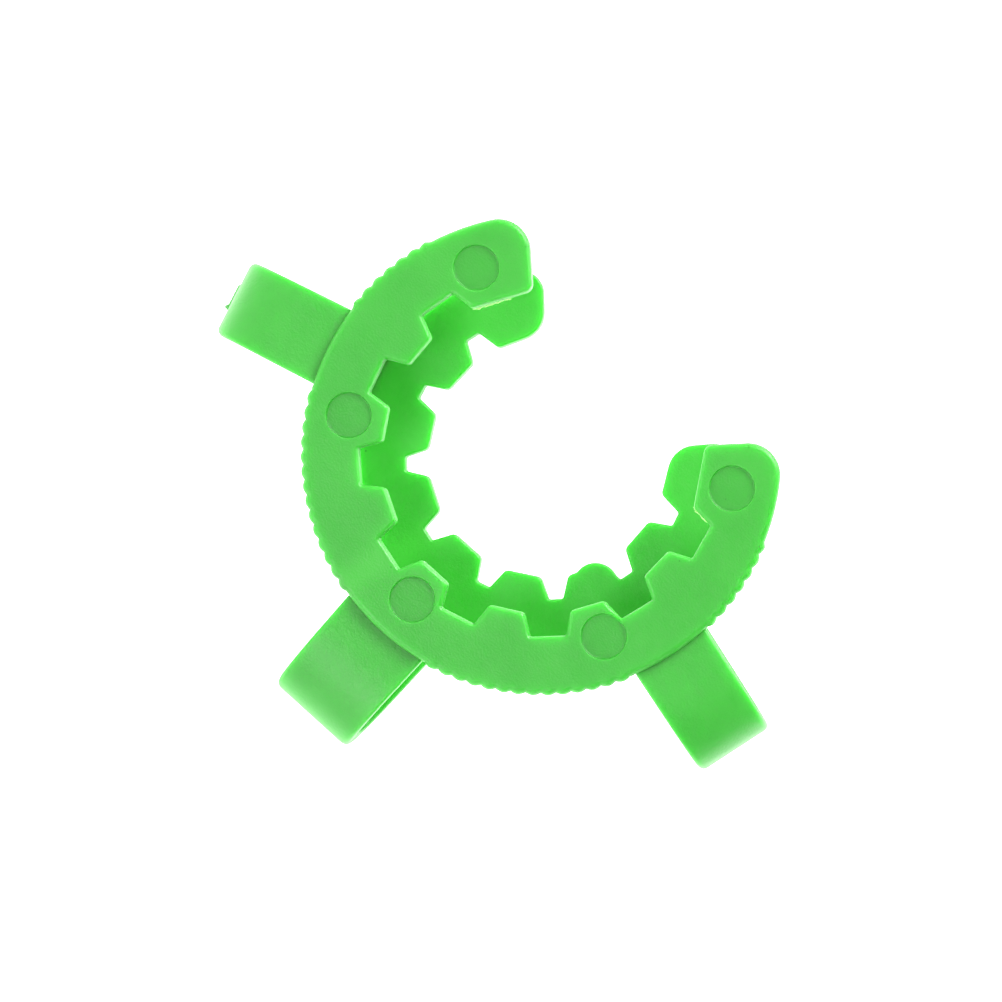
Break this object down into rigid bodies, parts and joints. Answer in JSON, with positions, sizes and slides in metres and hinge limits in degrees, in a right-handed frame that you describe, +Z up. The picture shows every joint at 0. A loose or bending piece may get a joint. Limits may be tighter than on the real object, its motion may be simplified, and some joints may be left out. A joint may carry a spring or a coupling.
{
  "type": "ground joint clip",
  "caption": "Springy C-shaped clip that holds a conical ground-glass joint together, with toothed gripping rings tied by hairpin spring bridges.",
  "frame": {"origin": "bottom centre of the part's bounding box, on the plane the lower ring stands on; the joint's axis is vertical, 8.7 mm in front of it", "axes": "+Z up from the cone ring to the socket ring, -Y out of the mouth, +Y along the back bridge, +X along the part's longest side"},
  "size_m": [0.0608, 0.0442, 0.013],
  "materials": {
    "green_acetal": "bright green moulded acetal, slightly translucent, with a soft satin sheen"
  },
  "bodies": {
    "cone_back": {"cone_ring_back": "green_acetal", "spring_bridge_back": "green_acetal"},
    "cone_right": {"cone_ring_right": "green_acetal", "spring_bridge_right": "green_acetal"},
    "cone_left": {"cone_ring_left": "green_acetal", "spring_bridge_left": "green_acetal"},
    "socket_back": {"socket_ring_back": "green_acetal"},
    "socket_right": {"socket_ring_right": "green_acetal"},
    "socket_left": {"socket_ring_left": "green_acetal"}
  },
  "joints": [
    {"name": "axial_spread", "type": "slide", "parent": "cone_back", "child": "socket_back", "axis": [0, 0, 1], "range_m": [0, 0.0012], "stiffness_N_per_m": 20000, "deforming": ["spring_bridge_back", "spring_bridge_right", "spring_bridge_left"]},
    {"name": "cone_right_flex", "type": "hinge", "parent": "cone_back", "child": "cone_right", "pos_m": [0.00541, 0.01148, 0.00125], "axis": [0, 0, 1], "range_deg": [0, 7.5], "stiffness_Nm_per_rad": 2.5},
    {"name": "cone_left_flex", "type": "hinge", "parent": "cone_back", "child": "cone_left", "pos_m": [-0.00541, 0.01148, 0.00125], "axis": [0, 0, -1], "range_deg": [0, 7.5], "stiffness_Nm_per_rad": 2.5},
    {"name": "socket_right_flex", "type": "hinge", "parent": "socket_back", "child": "socket_right", "pos_m": [0.00541, 0.01148, 0.01175], "axis": [0, 0, 1], "range_deg": [0, 7.5], "stiffness_Nm_per_rad": 1.5},
    {"name": "socket_left_flex", "type": "hinge", "parent": "socket_back", "child": "socket_left", "pos_m": [-0.00541, 0.01148, 0.01175], "axis": [0, 0, -1], "range_deg": [0, 7.5], "stiffness_Nm_per_rad": 1.5}
  ],
  "couplings": [
    {"joint": "cone_left_flex", "follows": "cone_right_flex", "ratio": 1},
    {"joint": "socket_right_flex", "follows": "cone_right_flex", "ratio": 1},
    {"joint": "socket_left_flex", "follows": "cone_right_flex", "ratio": 1}
  ]
}
